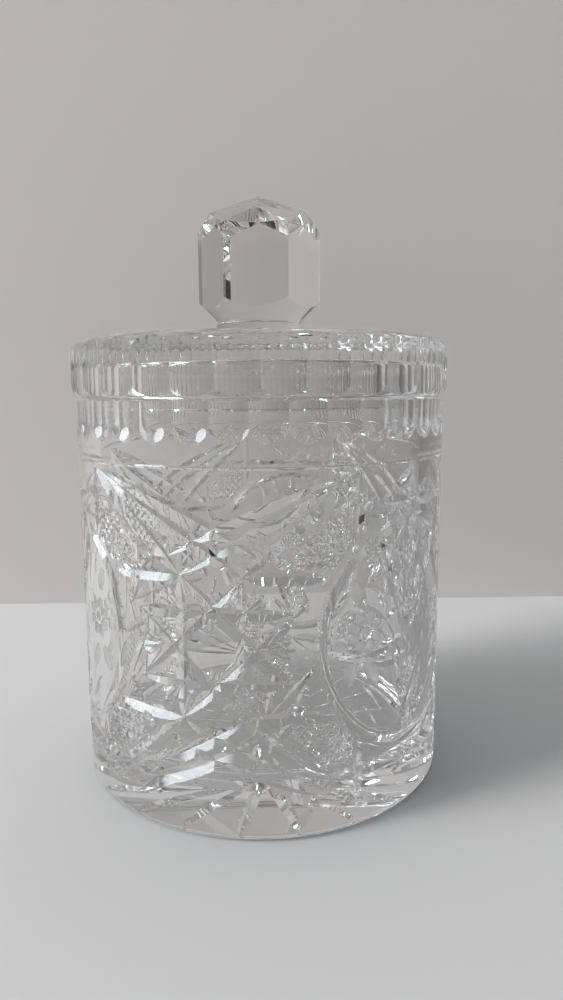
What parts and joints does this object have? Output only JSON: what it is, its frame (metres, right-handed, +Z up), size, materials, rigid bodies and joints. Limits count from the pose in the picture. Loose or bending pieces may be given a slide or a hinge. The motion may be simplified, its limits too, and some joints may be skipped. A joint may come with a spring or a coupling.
{
  "type": "biscuit jar",
  "caption": "Round straight-sided cut-crystal biscuit jar with star, fan and medallion cuts, a fluted lift-off lid and a six-sided knob.",
  "frame": {"origin": "middle of the jar's base, on the surface that it stands on", "axes": "+Z up along the jar's axis, the front of the jar faces -Y, +X to the right"},
  "size_m": [0.1304, 0.1304, 0.2],
  "materials": {
    "jar_crystal": "clear polished crystal with cut facets",
    "lid_crystal": "clear polished crystal with hollow flutes",
    "knob_crystal": "clear polished crystal with flat facets"
  },
  "bodies": {
    "jar": {"jar": "jar_crystal"},
    "lid": {"lid": "lid_crystal", "knob": "knob_crystal"}
  },
  "joints": [
    {"name": "lid_lift", "type": "slide", "parent": "jar", "child": "lid", "axis": [0, 0, 1], "range_m": [0, 0.12]}
  ]
}
